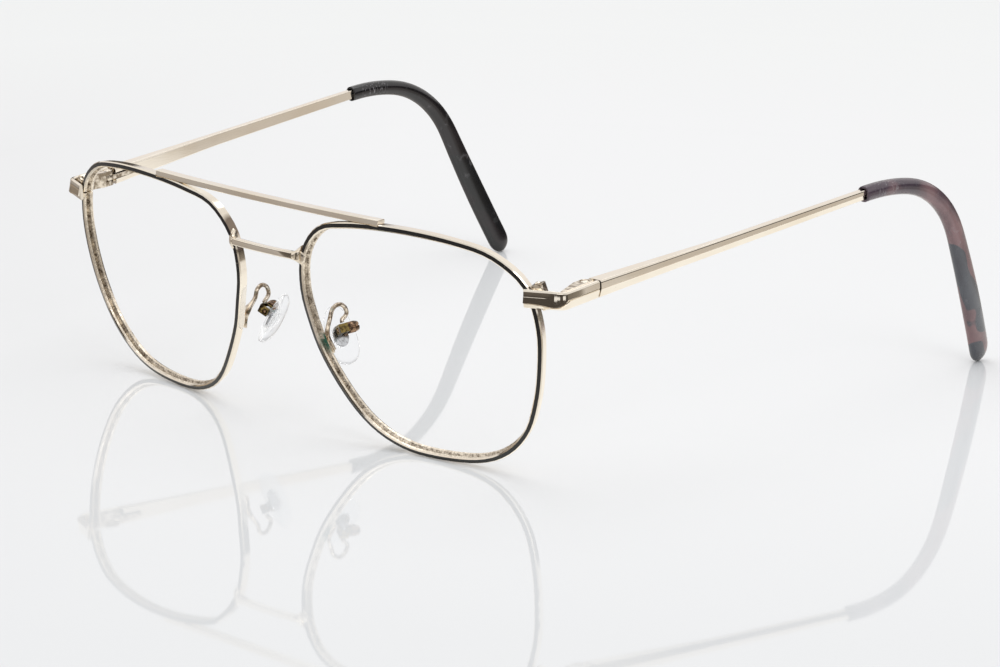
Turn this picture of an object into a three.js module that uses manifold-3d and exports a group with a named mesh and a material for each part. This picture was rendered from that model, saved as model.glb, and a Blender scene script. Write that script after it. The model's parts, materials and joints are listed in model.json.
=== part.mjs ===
import * as THREE from 'three';
import { mergeVertices } from 'three/addons/utils/BufferGeometryUtils.js';
import Module from 'manifold-3d';

// Navigator eyeglass frame with a double bridge, temples open, standing on its rims and its temple tips.
// Millimetres. The front faces -Y, the temples run to +Y, +Z is up, X = 0 is the mirror plane.
// Heights are counted from the rims' lowest outline points until the whole is set on the table at the end.
// Left is the wearer's left, which is +X. Shapes are made for the left side and mirrored for the right.

const wasm = await Module();
wasm.setup();

const degree = Math.PI / 180;

// Front: one rim's outline is measured on the middle of its front face
const rimWidth = 55.4;
const rimHeight = 45.75;
const noseGap = 17.9;
const rimRadial = 1.2;
const rimDepth = 2.15;
const rimChamfer = 0.22;
const grooveWidth = 0.9;
const grooveDepth = 0.42;
const splitGap = 0.35;
const baseCurveRadius = 102.5;
const faceFormAngle = 6.1 * degree;
const pantoscopicTilt = 7.45 * degree;
const bowlInset = 2.75;
const bowlDrop = 2.045;
const bowlLead = -0.1;

// Outline of the left rim from its split, clockwise seen from the front, as shares of rimWidth and rimHeight
const rimOutlineShares = [
  [0.976, 0.795], [0.943, 0.864], [0.84, 0.949], [0.7, 0.986], [0.471, 1], [0.246, 0.977],
  [0.112, 0.934], [0.022, 0.813], [0, 0.65], [0.026, 0.499], [0.064, 0.367], [0.18, 0.149],
  [0.262, 0.063], [0.363, 0.014], [0.471, 0], [0.699, 0.024], [0.813, 0.087], [0.903, 0.199],
  [0.957, 0.342], [0.988, 0.499], [0.998, 0.654],
];
const rimSteps = 84;

// Clearances
const brazeGap = 0.22;
const pinGap = 0.14;
const hingeGap = 0.15;
const seatGap = 0.25;
const browGap = 0.12;
const overrun = 1;
const weldDistance = 1e-5;

// Bridge and brow bar
const bridgeLap = 0.7;
const bridgeHeight = 1.45;
const bridgeDepth = 1.4;
const bridgeLevelShare = 0.796;
const bridgeBow = 0.5;
const bridgeEndHeight = 2.1;
const bridgeEndDepth = 0.65;
const bridgeFlare = 1.2;
const bridgeCutShare = 0.5;
const bridgeSteps = 12;
const browLength = 62.4;
const browHeight = 1.25;
const browDepth = 1.9;
const browBow = 0.5;
const browChamfer = 0.15;
const browSink = 0.38;
const browLead = 0.1;
const browDip = 0.28;
const browSteps = 8;

// Hinge: its axis stands behind the end piece, so far outside, behind and above the rim's split
const strapReach = 6.68;
const hingeSetback = 10.41;
const hingeRise = 0.71;
const knuckleRadius = 1.1;
const knuckleHeight = 0.95;
const frontLeafLength = 7.3;
const frontLeafTip = 0.5;
const frontLeafShoulder = 2;
const tongueLength = 6.8;
const tongueDepth = 1.85;
const hingeShankRadius = 0.5;
const hingeHeadRadius = 0.78;
const hingeHeadHeight = 0.4;

// Temple: section, and route of its middle line from the hinge axis backwards
const templeFrontThickness = 3.3;
const templeFrontHeight = 3.45;
const templeTaperRun = 34;
const templeMiddleHeight = 2.5;
const templeRearThickness = 1.45;
const templeRearHeight = 2;
const templeSink = 0.1;
const seamRun = 1.6;
const seamGap = 0.3;
const facetDrop = 0.55;
const templeGroove = 0.1;
const templeChamfer = 0.3;
const straightRun = 78;
const leadRun = 12.9;
const leadTurn = 14 * degree;
const bendRun = 23.1;
const bendTurn = 53.5 * degree;
const dropRun = 34.2;
const splayAngle = 2.7 * degree;
const mastoidAngle = 5.4 * degree;
const templeSteps = 12;
const coreSteps = 22;

// Temple tip and the metal core in it
const mouthLead = 1;
const coreThickness = 1.15;
const coreHeight = 1.6;
const coreShoulder = 3.2;
const coreEnd = 9;
const coreClearance = 0.2;
const tipMouthThickness = 2.9;
const tipMouthHeight = 3.4;
const tipPadThickness = 2.8;
const tipPadHeight = 5.8;
const tipSwellShares = [0.15, 0.85];
const tipNose = 3.2;
const tipNoseEndShare = 0.14;
const tipSquareness = 0.85;
const tipStepBias = 1.35;
const tipSteps = 34;
const tipSides = 14;

// End piece: a strap from the rim's front round the corner to the seam
const strapFrontThickness = 1.15;
const strapFrontHeight = 3.5;
const strapRearHeight = 3.45;
const strapLap = 0.95;
const strapCornerRadius = 3.2;
const strapBevelHeight = 0.9;
const strapBevelDepth = 0.5;
const strapGroove = 0.14;
const strapRearGroove = 0.28;
const strapLean = 8 * degree;
const strapLift = 0.15;
const strapCornerSteps = 8;
const strapRunSteps = 5;

// Closing block at the rim's split
const lockWidth = 2.3;
const lockDepth = 2.3;
const lockHeight = 1.95;
const lockChamfer = 0.3;
const closingShankRadius = 0.5;
const closingHeadRadius = 0.9;
const closingHeadHeight = 0.65;
const closingTailRise = 0.35;

// Screws: crown of the head and chamfer of the tail, as shares of the head's and the shank's sizes
const crownRadiusShare = 0.8;
const crownHeightShare = 0.35;
const tailLengthShare = 0.4;
const tailRadiusShare = 0.6;
const slotWidth = 0.22;
const slotDepth = 0.22;

// Nose pads: the pad screw's place from the arm's foot on the rim, its turn, and the parts round it
const padInset = 1.21;
const padSetback = 7.33;
const padRise = 2.14;
const padSplay = -22 * degree;
const padFlare = -29 * degree;
const padPitch = 8 * degree;
const boxWidth = 1.9;
const boxHeight = 1.8;
const boxBack = 1.35;
const boxFront = 0.75;
const boxWall = 0.45;
const padShankRadius = 0.4;
const padHeadRadius = 1.15;
const padHeadLength = 2.3;
const tabThickness = 0.72;
const tabRadius = 0.76;
const plateLength = 4.4;
const plateWidth = 3.2;
const plateDrop = 0.9;
const plateSides = 20;
const plateThickness = 0.4;
const padLength = 12.2;
const padWidth = 6.8;
const padThickness = 2.3;
const padDrop = 0.7;
const padStandoff = 1.35;
const padSteps = 28;
// Half outline of the pad from its top round the back edge to its bottom, as shares of its half size
const padOutlineShares = [
  [0, 1], [0.42, 0.93], [0.72, 0.72], [0.92, 0.32], [1, -0.12], [0.93, -0.52], [0.68, -0.83], [0.36, -0.97],
  [0, -1], [-0.4, -0.94], [-0.72, -0.73], [-0.88, -0.35], [-0.86, 0.1], [-0.72, 0.5], [-0.46, 0.84],
];
// The pad's crown: share of the outline's size against share of its thickness
const padCrownShares = [[0.9, 0], [1, 0.14], [1, 0.36], [0.93, 0.66], [0.76, 0.87], [0.45, 0.98]];

// Pad arm: a wire from a flattened foot on the rim's back, up, over and down to the box
const padWireRadius = 0.48;
const padFootWidth = 1.9;
const padFootThickness = 0.75;
const padFootShares = [0.06, 0.396];
const padFootLength = 3.2;
const padLegOut = 0.32;
const padLegBack = 0.91;
const padLegRise = 3;
const padLegSpan = 4.05;
const padLegSkew = 0.4;
const padArchHeight = 2.3;
const padArchSteps = 4;
const padWireSteps = 28;
const padWireSides = 8;

const halfGap = noseGap / 2;
const rimCentreX = halfGap + rimWidth / 2;
const rimCentreZ = rimHeight / 2;
const bowlCentreX = rimCentreX - bowlInset;
const bowlCentreZ = rimCentreZ - bowlDrop;

const gold = { color: 0xd9c8aa, metalness: 1, roughness: 0.24 };
const rimGold = { color: 0xcdbb98, metalness: 1, roughness: 0.28 };
const screwGold = { color: 0xb08a4c, metalness: 1, roughness: 0.35 };
const tortoise = { color: 0x3a2a2c, metalness: 0, roughness: 0.15 };
const clearSilicone = { color: 0xeef1f2, metalness: 0, roughness: 0.1, transparent: true, opacity: 0.45 };

// Closed geometry with its faces pointing out
function outward(geometry) {
  for (const name of ['normal', 'uv']) geometry.deleteAttribute(name);
  const merged = mergeVertices(geometry, weldDistance);
  const place = merged.attributes.position;
  const index = merged.index.array;
  const corner = [new THREE.Vector3(), new THREE.Vector3(), new THREE.Vector3()];
  let volume = 0;
  for (let i = 0; i < index.length; i += 3) {
    for (let k = 0; k < 3; k += 1) corner[k].fromBufferAttribute(place, index[i + k]);
    volume += corner[0].dot(corner[1].clone().cross(corner[2]));
  }
  if (volume < 0) {
    for (let i = 0; i < index.length; i += 3) [index[i], index[i + 1]] = [index[i + 1], index[i]];
  }
  return merged;
}

// Triangles that close a flat or nearly flat ring of points
function capTriangles(ring) {
  const normal = new THREE.Vector3();
  ring.forEach((point, i) => normal.add(point.clone().cross(ring[(i + 1) % ring.length])));
  normal.normalize();
  const across = ring[1].clone().sub(ring[0]).normalize();
  across.addScaledVector(normal, -across.dot(normal)).normalize();
  const along = normal.clone().cross(across);
  const flat = ring.map((point) => new THREE.Vector2(point.dot(across), point.dot(along)));
  return THREE.ShapeUtils.triangulateShape(flat, []);
}

// Solid through rings of equally many points: capped at both ends, or joined into a loop
function loft(rings, loop = false) {
  const count = rings[0].length;
  const points = rings.flat();
  const index = [];
  const spans = loop ? rings.length : rings.length - 1;
  for (let r = 0; r < spans; r += 1) {
    const here = r * count;
    const next = ((r + 1) % rings.length) * count;
    for (let i = 0; i < count; i += 1) {
      const j = (i + 1) % count;
      index.push(here + i, here + j, next + j, here + i, next + j, next + i);
    }
  }
  if (!loop) {
    const last = (rings.length - 1) * count;
    for (const [a, b, c] of capTriangles(rings[0])) index.push(c, b, a);
    for (const [a, b, c] of capTriangles(rings[rings.length - 1])) {
      index.push(last + a, last + b, last + c);
    }
  }
  const geometry = new THREE.BufferGeometry().setFromPoints(points);
  geometry.setIndex(index);
  return outward(geometry);
}

function solid(geometry) {
  const closed = outward(geometry);
  return new wasm.Manifold(new wasm.Mesh({
    numProp: 3,
    vertProperties: new Float32Array(closed.attributes.position.array),
    triVerts: new Uint32Array(closed.index.array),
  }));
}

function surface(manifold) {
  const mesh = manifold.getMesh();
  const geometry = new THREE.BufferGeometry();
  geometry.setAttribute('position', new THREE.BufferAttribute(new Float32Array(mesh.vertProperties), 3));
  geometry.setIndex([...mesh.triVerts]);
  return geometry;
}

// Cylinder along X, Y or Z about a place
function rod(radius, length, axis, place = [0, 0, 0], sides = 16) {
  const geometry = new THREE.CylinderGeometry(radius, radius, length, sides);
  if (axis === 'x') geometry.rotateZ(Math.PI / 2);
  if (axis === 'z') geometry.rotateX(Math.PI / 2);
  return geometry.translate(...place);
}

function block(width, depth, height, place = [0, 0, 0]) {
  return new THREE.BoxGeometry(width, depth, height).translate(...place);
}

// Block with its four upright edges cut at 45 degrees
function chamferedBlock(width, depth, height, cut, place) {
  const w = width / 2;
  const d = depth / 2;
  const outline = [[w - cut, -d], [w, -d + cut], [w, d - cut], [w - cut, d],
    [-w + cut, d], [-w, d - cut], [-w, -d + cut], [-w + cut, -d]];
  const ring = (z) => outline.map(([x, y]) => new THREE.Vector3(x + place[0], y + place[1], z));
  return loft([ring(place[2] - height / 2), ring(place[2] + height / 2)]);
}

// Corners of a bar's section with cut edges, as depth and height from its middle
function octagon(depth, height, cut) {
  const d = depth / 2;
  const h = height / 2;
  return [[-d + cut, h], [d - cut, h], [d, h - cut], [d, -h + cut],
    [d - cut, -h], [-d + cut, -h], [-d, -h + cut], [-d, h - cut]];
}

// Slotted screw along Z: head at the bottom, shank upwards from there
function screw(headRadius, headHeight, shankRadius, shankLength) {
  const tail = headHeight + shankLength;
  const profile = [
    [0, 0], [headRadius * crownRadiusShare, 0], [headRadius, headHeight * crownHeightShare],
    [headRadius, headHeight], [shankRadius, headHeight], [shankRadius, tail - shankRadius * tailLengthShare],
    [shankRadius * tailRadiusShare, tail], [0, tail],
  ];
  const lathe = new THREE.LatheGeometry(profile.map(([r, y]) => new THREE.Vector2(r, y)), 16);
  const slot = block(2 * (headRadius + overrun), slotDepth * 2, slotWidth);
  return surface(solid(lathe).subtract(solid(slot))).rotateX(Math.PI / 2);
}

const rimCurve = new THREE.CatmullRomCurve3(
  rimOutlineShares.map(([u, v]) => new THREE.Vector3(halfGap + u * rimWidth, 0, v * rimHeight)),
  true,
);
rimCurve.arcLengthDivisions = 800;

// The hinge axis's height over the rims' lowest points, and the temple's route with its turns
const hingeZ = rimCurve.getPointAt(0).z + hingeRise;
const hingeHeight = hingeZ + rimRadial / 2;
const templeRoute = [
  { run: straightRun, turn: 0 }, { run: leadRun, turn: leadTurn },
  { run: bendRun, turn: bendTurn }, { run: dropRun, turn: 0 },
];
const templeLength = templeRoute.reduce((sum, part) => sum + part.run, 0);

// Place, upward and outward direction on the temple's middle line, by length from the hinge axis
function templeStation(length) {
  let heading = 0;
  let left = length;
  const place = new THREE.Vector3();
  for (const { run, turn } of templeRoute) {
    const step = Math.min(left, run);
    if (step <= 0) break;
    const turned = turn * (step / run);
    const chord = turned > 0 ? step * Math.sin(turned / 2) / (turned / 2) : step;
    place.y += chord * Math.cos(heading - turned / 2);
    place.z += chord * Math.sin(heading - turned / 2);
    heading -= turned;
    left -= step;
  }
  const behind = Math.max(0, length - straightRun);
  const curl = behind / (templeLength - straightRun);
  place.x = length * Math.sin(splayAngle) - behind * curl * Math.sin(mastoidAngle);
  const up = new THREE.Vector3(0, -Math.sin(heading), Math.cos(heading));
  const out = new THREE.Vector3(1, 0, 0);
  return { place, up, out };
}

// The frame stands on its rims and tips, so the temples rise by as much as their round ends allow
const restPlace = templeStation(templeLength - tipNose).place;
const templeRise = Math.asin((tipNose - hingeHeight) / Math.hypot(restPlace.y, restPlace.z))
  - Math.atan2(restPlace.z, restPlace.y);
const standingTilt = pantoscopicTilt + templeRise;

// Depth of the front's bowl: two turned planes and the lens curve, seen at the rims' front faces
function bowl(x, z) {
  const dx = x - bowlCentreX;
  const dz = z - bowlCentreZ;
  return bowlLead + dx * Math.tan(faceFormAngle) - dz * Math.tan(standingTilt)
    + (dx * dx + dz * dz) / (2 * baseCurveRadius);
}

// Backward normal of the bowl
function bowlNormal(x, z) {
  const slopeX = Math.tan(faceFormAngle) + (x - bowlCentreX) / baseCurveRadius;
  const slopeZ = -Math.tan(standingTilt) + (z - bowlCentreZ) / baseCurveRadius;
  return new THREE.Vector3(-slopeX, 1, -slopeZ).normalize();
}

// Point on the rim's front face with its outward and backward directions
function rimFrame(share) {
  const wrapped = ((share % 1) + 1) % 1;
  const flat = rimCurve.getPointAt(wrapped);
  const run = rimCurve.getTangentAt(wrapped);
  const back = bowlNormal(flat.x, flat.z);
  const place = new THREE.Vector3(flat.x, bowl(flat.x, flat.z), flat.z);
  const heading = new THREE.Vector3(run.x, 0, run.z);
  heading.addScaledVector(back, -heading.dot(back)).normalize();
  const out = back.clone().cross(heading).normalize();
  if (out.dot(new THREE.Vector3(flat.x - rimCentreX, 0, flat.z - rimCentreZ)) < 0) out.negate();
  return { place, out, back };
}

// The rim's share of length where it is nearest to a place in front view
function rimShareAt(x, z) {
  let best = 0;
  let least = Infinity;
  for (let i = 0; i < 1000; i += 1) {
    const point = rimCurve.getPointAt(i / 1000);
    const distance = Math.hypot(point.x - x, point.z - z);
    if (distance < least) [least, best] = [distance, i / 1000];
  }
  return best;
}

function rim() {
  const w = rimRadial / 2;
  const c = rimChamfer;
  const g = grooveWidth / 2;
  const mid = rimDepth / 2;
  const section = [
    [w - c, 0], [w, c], [w, rimDepth - c], [w - c, rimDepth], [-w + c, rimDepth], [-w, rimDepth - c],
    [-w, mid + g], [-w + grooveDepth, mid], [-w, mid - g], [-w, c], [-w + c, 0],
  ];
  const halfSplit = splitGap / 2 / rimCurve.getLength();
  const rings = [];
  for (let i = 0; i <= rimSteps; i += 1) {
    const share = halfSplit + (1 - 2 * halfSplit) * (i / rimSteps);
    const { place, out, back } = rimFrame(share);
    rings.push(section.map(([o, b]) => place.clone().addScaledVector(out, o).addScaledVector(back, b)));
  }
  return surface(solid(loft(rings)).subtract(solid(browBar(browGap, overrun))));
}

// Bridge: a flat-sided bar bowed forwards, its flattened ends lying on the rims' front faces
function bridge() {
  const half = halfGap + bridgeLap;
  const level = bridgeLevelShare * rimHeight;
  const seat = bowl(half, level) - brazeGap - bridgeEndDepth / 2;
  const normal = bowlNormal(half, level);
  const lean = -normal.z / normal.y;
  const rings = [];
  for (let i = 0; i <= bridgeSteps; i += 1) {
    const x = half * (2 * i / bridgeSteps - 1);
    const inner = Math.abs(x);
    const flare = Math.max(0, (inner - (half - bridgeFlare)) / bridgeFlare);
    const height = THREE.MathUtils.lerp(bridgeHeight, bridgeEndHeight, flare * flare);
    const depth = THREE.MathUtils.lerp(bridgeDepth, bridgeEndDepth, flare);
    const lap = Math.max(0, inner - halfGap) / bridgeLap;
    const rise = (bowl(half, level) - bowl(halfGap, level)) * (1 - lap);
    const bow = bridgeBow * (1 - (x / half) ** 2);
    const y = seat - rise - bow - (depth - bridgeEndDepth) / 4;
    const cut = Math.min(height, depth) / 2 * bridgeCutShare;
    rings.push(octagon(depth, height, cut)
      .map(([a, b]) => new THREE.Vector3(x, y + a + b * lean, level + b)));
  }
  return loft(rings);
}

// Brow bar: a square-cut bar let into the rims' tops
// Its seat in the rims is larger by a clearance, and runs out through their backs
function browBar(clearance = 0, backRun = 0) {
  const seat = rimFrame(rimShareAt(browLength / 2, rimHeight));
  const top = seat.place.clone().addScaledVector(seat.out, rimRadial / 2)
    .addScaledVector(seat.back, rimDepth / 2);
  const level = top.z - browSink + browHeight / 2;
  const half = browLength / 2 + clearance;
  const size = [browDepth + 2 * clearance, browHeight + 2 * clearance, browChamfer];
  const rings = [];
  for (let i = 0; i <= browSteps; i += 1) {
    const side = 2 * i / browSteps - 1;
    const inward = 1 - side * side;
    const y = top.y - browLead - browBow * inward;
    const place = new THREE.Vector3(side * half, y, level - browDip * inward);
    rings.push(octagon(...size).map(([a, b]) => place.clone()
      .add(new THREE.Vector3(0, a > 0 ? a + backRun : a, b))));
  }
  return loft(rings);
}

const splitFrame = rimFrame(0);
const splitUp = splitFrame.out.clone().cross(splitFrame.back);

// Hinge axis, with the strap's outer face outside it
const outerFace = knuckleRadius + brazeGap + strapFrontThickness;
const hingePlace = new THREE.Vector3(
  splitFrame.place.x + strapReach - outerFace, splitFrame.place.y + hingeSetback, hingeZ);

// From here on, shapes are in the temple frame: origin on the hinge axis, Y along the temple, Z up the axis
function turnToTempleFrame(direction) {
  return direction.clone().applyAxisAngle(new THREE.Vector3(1, 0, 0), -templeRise);
}

const splitPlace = turnToTempleFrame(splitFrame.place.clone().sub(hingePlace));
const splitBack = turnToTempleFrame(splitFrame.back).setZ(0).normalize();
const splitOut = new THREE.Vector3(splitBack.y, -splitBack.x, 0);

// Section of the strap and the temple, outwards from the inner face and up from the middle line:
// an upper facet that leans inwards, a lengthwise groove whose lower lip is at level, and a lower facet
function facetedSection(thickness, height, level, groove, drop, cut, leanAngle) {
  const h = height / 2;
  const lean = Math.tan(leanAngle) * (h - cut - level - groove);
  return [
    [0, -h + cut], [0, h - cut], [cut, h], [thickness - cut - lean, h], [thickness - lean, h - cut],
    [thickness, level + groove], [thickness - groove, level + groove / 2], [thickness, level],
    [thickness - drop, -h + cut / 2], [thickness - drop - cut / 2, -h], [cut, -h],
  ];
}

// End piece: front lap on the rim, corner, then a run to the seam beside the hinge
function endPiece() {
  const half = strapFrontThickness / 2;
  const lapStart = splitPlace.clone().addScaledVector(splitBack, -(brazeGap + half))
    .addScaledVector(splitOut, -strapLap);
  const startTurn = Math.atan2(splitOut.y, splitOut.x);
  const reach = outerFace - half - strapCornerRadius * (1 - Math.sin(startTurn));
  const cornerStart = lapStart.clone().addScaledVector(splitOut, (reach - lapStart.x) / splitOut.x);
  const around = (heading) => new THREE.Vector3(Math.sin(heading), -Math.cos(heading), 0);
  const centre = cornerStart.clone().addScaledVector(around(startTurn), -strapCornerRadius);
  const stations = [];
  for (let i = 0; i <= strapRunSteps; i += 1) {
    const place = lapStart.clone().lerp(cornerStart, i / strapRunSteps);
    stations.push({ place, heading: startTurn, lean: strapLean });
  }
  for (let i = 1; i <= strapCornerSteps; i += 1) {
    const heading = THREE.MathUtils.lerp(startTurn, Math.PI / 2, i / strapCornerSteps);
    const place = centre.clone().addScaledVector(around(heading), strapCornerRadius);
    stations.push({ place, heading, lean: strapLean });
  }
  const cornerEnd = stations[stations.length - 1].place;
  const seam = cornerEnd.clone().setY(seamRun - seamGap / 2);
  for (let i = 1; i <= strapRunSteps; i += 1) {
    const place = cornerEnd.clone().lerp(seam, i / strapRunSteps);
    stations.push({ place, heading: Math.PI / 2, lean: strapLean * (1 - i / strapRunSteps) });
  }
  const rings = stations.map(({ place, heading, lean }) => {
    const corner = THREE.MathUtils.smoothstep(heading, startTurn, Math.PI / 2);
    const blend = (front, rear) => THREE.MathUtils.lerp(front, rear, corner);
    const height = blend(strapFrontHeight, strapRearHeight);
    const section = facetedSection(strapFrontThickness, height, blend(strapBevelHeight - height / 2, 0),
      blend(strapGroove, strapRearGroove), blend(strapBevelDepth, facetDrop), templeChamfer, lean);
    const middle = blend(splitPlace.z + strapLift, -templeSink);
    const out = around(heading);
    return section.map(([a, b]) => place.clone().setZ(middle + b).addScaledVector(out, a - half));
  });
  return loft(rings);
}

// The closing block's middle in the part's frame: it lies along the rim's outer wall, behind the strap
function lockPlace() {
  const reach = rimRadial / 2 + brazeGap + lockWidth / 2;
  return splitFrame.place.clone().addScaledVector(splitFrame.out, reach)
    .addScaledVector(splitFrame.back, lockDepth / 2);
}

// Closing block half: direction 1 is the upper half, -1 the lower half
function lockHalf(direction) {
  const centre = direction * (splitGap / 2 + lockHeight / 2);
  const body = chamferedBlock(lockWidth, lockDepth, lockHeight, lockChamfer, [0, 0, centre]);
  const bore = rod(closingShankRadius + pinGap, lockHeight + 2 * overrun, 'z', [0, 0, centre]);
  return surface(solid(body).subtract(solid(bore)));
}

function closingScrew() {
  const shank = splitGap + 2 * lockHeight + pinGap + closingTailRise;
  const bottom = -splitGap / 2 - lockHeight - pinGap - closingHeadHeight;
  return screw(closingHeadRadius, closingHeadHeight, closingShankRadius, shank).translate(0, 0, bottom);
}

// Front hinge: a wedge beside the strap whose rear end is the upper and the lower knuckle
function frontHinge() {
  const height = 3 * knuckleHeight + 2 * hingeGap;
  const width = 2 * knuckleRadius;
  const barrel = rod(knuckleRadius, height, 'z', [0, 0, 0], 24);
  const outline = [[knuckleRadius, 0], [knuckleRadius, -frontLeafLength],
    [knuckleRadius - frontLeafTip, -frontLeafLength], [-knuckleRadius, -frontLeafShoulder],
    [-knuckleRadius, 0]];
  const ring = (z) => outline.map(([x, y]) => new THREE.Vector3(x, y, z));
  const leaf = loft([ring(-height / 2), ring(height / 2)]);
  const clearRadius = knuckleRadius + hingeGap;
  const rearEnd = knuckleRadius + overrun;
  const space = block(width + 2 * overrun, rearEnd + clearRadius, knuckleHeight + 2 * hingeGap,
    [0, (rearEnd - clearRadius) / 2, 0]);
  const pin = rod(hingeShankRadius + pinGap, height + 2 * overrun, 'z');
  const headSeat = rod(hingeHeadRadius + pinGap, 2 * hingeHeadHeight, 'z', [0, 0, height / 2]);
  return surface(solid(barrel).add(solid(leaf)).subtract(solid(space)).subtract(solid(pin))
    .subtract(solid(headSeat)));
}

// Temple hinge: the middle knuckle on a tongue that sits in the temple's slot
function templeHinge() {
  const barrel = rod(knuckleRadius, knuckleHeight, 'z', [0, 0, 0], 24);
  const tongue = block(tongueDepth, tongueLength, knuckleHeight, [tongueMiddle, tongueLength / 2, 0]);
  const pin = rod(hingeShankRadius + pinGap, knuckleHeight + 2 * overrun, 'z');
  return surface(solid(barrel).add(solid(tongue)).subtract(solid(pin)));
}

function hingeScrew() {
  const height = 3 * knuckleHeight + 2 * hingeGap;
  const made = screw(hingeHeadRadius, hingeHeadHeight - pinGap, hingeShankRadius, height - hingeHeadHeight);
  return made.rotateX(Math.PI).translate(0, 0, height / 2);
}

// Lateral places: the temple's inner face at the hinge, the tongue's middle, the core's and the tip's middle
const templeInnerFace = outerFace - templeFrontThickness;
const tongueMiddle = templeInnerFace + tongueDepth / 2;
const coreMiddle = outerFace - templeRearThickness / 2;
const tipMouth = straightRun - mouthLead;

// Temple: a grooved bar that tapers to the tip's mouth, and the thin core behind it
function temple() {
  const lengths = [];
  const shoulderEnd = tipMouth + coreShoulder;
  for (let i = 0; i <= templeSteps; i += 1) {
    lengths.push(THREE.MathUtils.lerp(seamRun + seamGap / 2, tipMouth, i / templeSteps));
  }
  lengths.push((tipMouth + shoulderEnd) / 2);
  for (let i = 0; i <= coreSteps; i += 1) {
    lengths.push(THREE.MathUtils.lerp(shoulderEnd, templeLength - coreEnd, i / coreSteps));
  }
  const rings = lengths.map((length) => {
    const { place, up, out } = templeStation(length);
    const taper = Math.min(1, length / templeTaperRun);
    const later = Math.max(0, Math.min(1, (length - templeTaperRun) / (tipMouth - templeTaperRun)));
    const thin = THREE.MathUtils.smoothstep(length, tipMouth, shoulderEnd);
    const mix = THREE.MathUtils.lerp;
    const thickness = mix(mix(templeFrontThickness, templeRearThickness, taper), coreThickness, thin);
    const barHeight = mix(mix(templeFrontHeight, templeMiddleHeight, taper), templeRearHeight, later);
    const height = mix(barHeight, coreHeight, thin);
    const slim = mix(1, thickness / templeFrontThickness, taper);
    const outer = outerFace - (templeRearThickness - coreThickness) / 2 * thin;
    const [groove, drop, cut] = [templeGroove * slim, facetDrop * slim, templeChamfer * slim];
    const sink = templeSink * Math.max(0, 1 - length / tipMouth);
    const section = facetedSection(thickness, height, 0, groove, drop, cut, 0);
    return section.map(([a, b]) => place.clone()
      .addScaledVector(out, outer - thickness + a).addScaledVector(up, b - sink));
  });
  const slotStart = seamRun - overrun;
  const slotEnd = tongueLength + brazeGap;
  const slotInner = templeInnerFace - overrun;
  const slotOuter = templeInnerFace + tongueDepth + brazeGap;
  const slot = block(slotOuter - slotInner, slotEnd - slotStart, knuckleHeight + 2 * brazeGap,
    [(slotOuter + slotInner) / 2, (slotEnd + slotStart) / 2, 0]);
  return surface(solid(loft(rings)).subtract(solid(slot)));
}

// Ring round the temple's middle line, a little squarer than an ellipse
function oval(length, thickness, height) {
  const { place, up, out } = templeStation(length);
  const ring = [];
  for (let i = 0; i < tipSides; i += 1) {
    const angle = (2 * Math.PI * i) / tipSides;
    const across = Math.sign(Math.cos(angle)) * Math.abs(Math.cos(angle)) ** tipSquareness;
    ring.push(place.clone().addScaledVector(out, coreMiddle + across * thickness / 2)
      .addScaledVector(up, Math.sin(angle) * height / 2));
  }
  return ring;
}

// Temple tip: a bent oval sleeve that swells to a round end, open at its mouth round the core
function templeTip() {
  const span = templeLength - tipMouth;
  const rings = [];
  for (let i = 0; i <= tipSteps; i += 1) {
    const along = 1 - (1 - i / tipSteps) ** tipStepBias;
    const length = tipMouth + span * along;
    const swell = THREE.MathUtils.smoothstep(along, ...tipSwellShares);
    const inNose = Math.max(0, 1 - (templeLength - length) / tipNose);
    const round = Math.max(tipNoseEndShare, Math.sqrt(1 - inNose * inNose));
    rings.push(oval(length, THREE.MathUtils.lerp(tipMouthThickness, tipPadThickness, swell) * round,
      THREE.MathUtils.lerp(tipMouthHeight, tipPadHeight, swell) * round));
  }
  const boreRings = [];
  const boreStart = tipMouth - overrun;
  const boreEnd = templeLength - coreEnd + coreClearance;
  for (let i = 0; i <= coreSteps; i += 1) {
    const length = THREE.MathUtils.lerp(boreStart, boreEnd, i / coreSteps);
    const { place, up, out } = templeStation(length);
    const narrow = THREE.MathUtils.smoothstep(length, tipMouth, tipMouth + coreShoulder * 2);
    const w = THREE.MathUtils.lerp(templeRearThickness, coreThickness, narrow) / 2 + coreClearance;
    const h = THREE.MathUtils.lerp(templeRearHeight, coreHeight, narrow) / 2 + coreClearance;
    boreRings.push([[w, -h], [w, h], [-w, h], [-w, -h]].map(([a, b]) => place.clone()
      .addScaledVector(out, coreMiddle + a).addScaledVector(up, b)));
  }
  return surface(solid(loft(rings)).subtract(solid(loft(boreRings))));
}

// From here on, shapes are in the pad frame: origin on the pad screw, -X to the nose, Y along the screw
function padBox() {
  const depth = boxBack + boxFront;
  const body = block(depth, boxWidth, boxHeight, [(boxBack - boxFront) / 2, 0, 0]);
  const slot = block(depth, boxWidth - 2 * boxWall, boxHeight + 2 * overrun,
    [(boxBack - boxFront) / 2 - boxWall, 0, 0]);
  const bore = rod(padShankRadius + pinGap, boxWidth + 2 * overrun, 'y');
  return surface(solid(body).subtract(solid(slot)).subtract(solid(bore)));
}

function padScrew() {
  const shank = boxWidth + pinGap;
  const made = screw(padHeadRadius, padHeadLength, padShankRadius, shank);
  return made.rotateX(Math.PI / 2).translate(0, boxWidth / 2 + pinGap + padHeadLength, 0);
}

// Oval plate across X, hanging a little lower than the pad screw
function padPlate(thickness, clearance) {
  return rod(1, thickness, 'x', [0, 0, 0], plateSides)
    .scale(1, plateWidth / 2 + clearance, plateLength / 2 + clearance).translate(0, 0, -plateDrop);
}

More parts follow.
